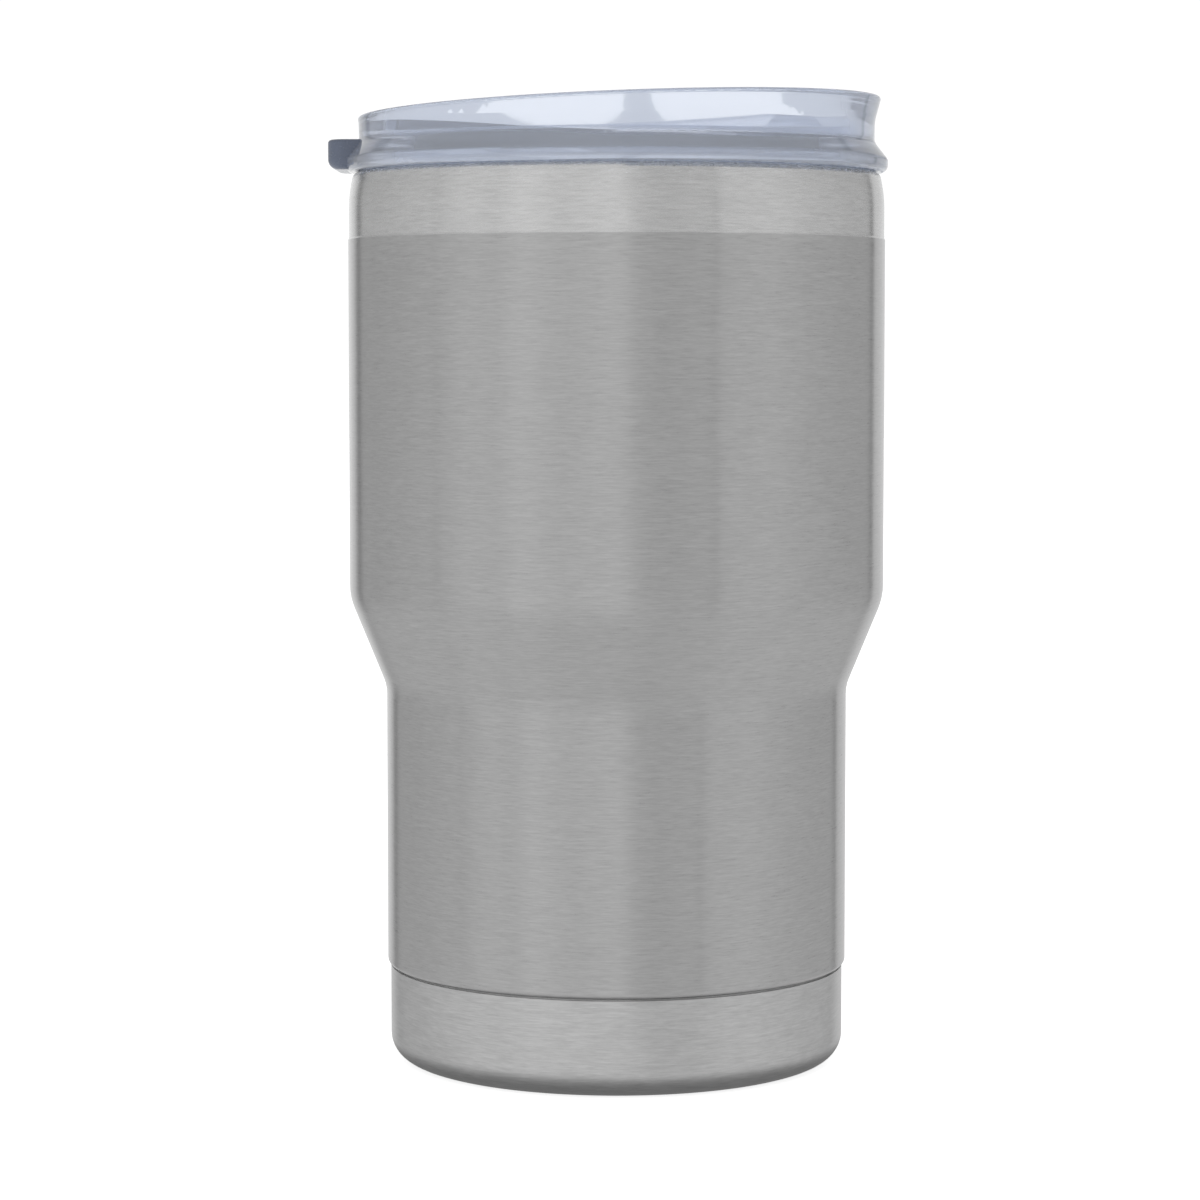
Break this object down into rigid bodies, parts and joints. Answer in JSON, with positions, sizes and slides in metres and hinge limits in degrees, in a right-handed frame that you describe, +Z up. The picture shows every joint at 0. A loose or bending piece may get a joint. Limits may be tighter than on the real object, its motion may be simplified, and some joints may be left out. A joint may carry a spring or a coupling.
{
  "type": "insulated tumbler with lid",
  "caption": "Double-walled steel tumbler with a shoulder that narrows to fit a cup holder, and a clear press-in lid with a thumb tab and a sliding closure.",
  "frame": {"origin": "centre of the foot, on the surface the tumbler stands on", "axes": "+Z up along the vessel's axis; +X towards the drinking side; the thumb tab is at -X"},
  "size_m": [0.0923, 0.0898, 0.1602],
  "materials": {
    "shell_steel": "brushed round the axis",
    "base_steel": "satin",
    "liner_steel": "electropolished satin",
    "plate_steel": "pressed, unpolished",
    "sealing_glass": "fired, glossy",
    "copper": "bright foil",
    "getter": "pressed powder, matte",
    "clear_plastic": "clear, polished",
    "dark_plastic": "fine satin",
    "silicone": "translucent, matte"
  },
  "bodies": {
    "cup": {"outer_shell": "shell_steel", "base_cup": "base_steel", "inner_liner": "liner_steel", "inner_bottom": "liner_steel", "vacuum_plate": "plate_steel", "seal_bead": "sealing_glass", "foil_upper": "copper", "foil_lower": "copper", "getter_pellet": "getter", "getter_cap": "plate_steel"},
    "lid": {"lid_body": "clear_plastic", "thumb_tab": "dark_plastic", "lid_gasket": "silicone"},
    "slider": {"slider": "clear_plastic", "slider_seal": "silicone"}
  },
  "joints": [
    {"name": "lid_lift", "type": "slide", "parent": "cup", "child": "lid", "axis": [0, 0, 1], "range_m": [0, 0.08]},
    {"name": "slider_open", "type": "slide", "parent": "lid", "child": "slider", "axis": [-1, 0, 0], "range_m": [0, 0.014]}
  ]
}
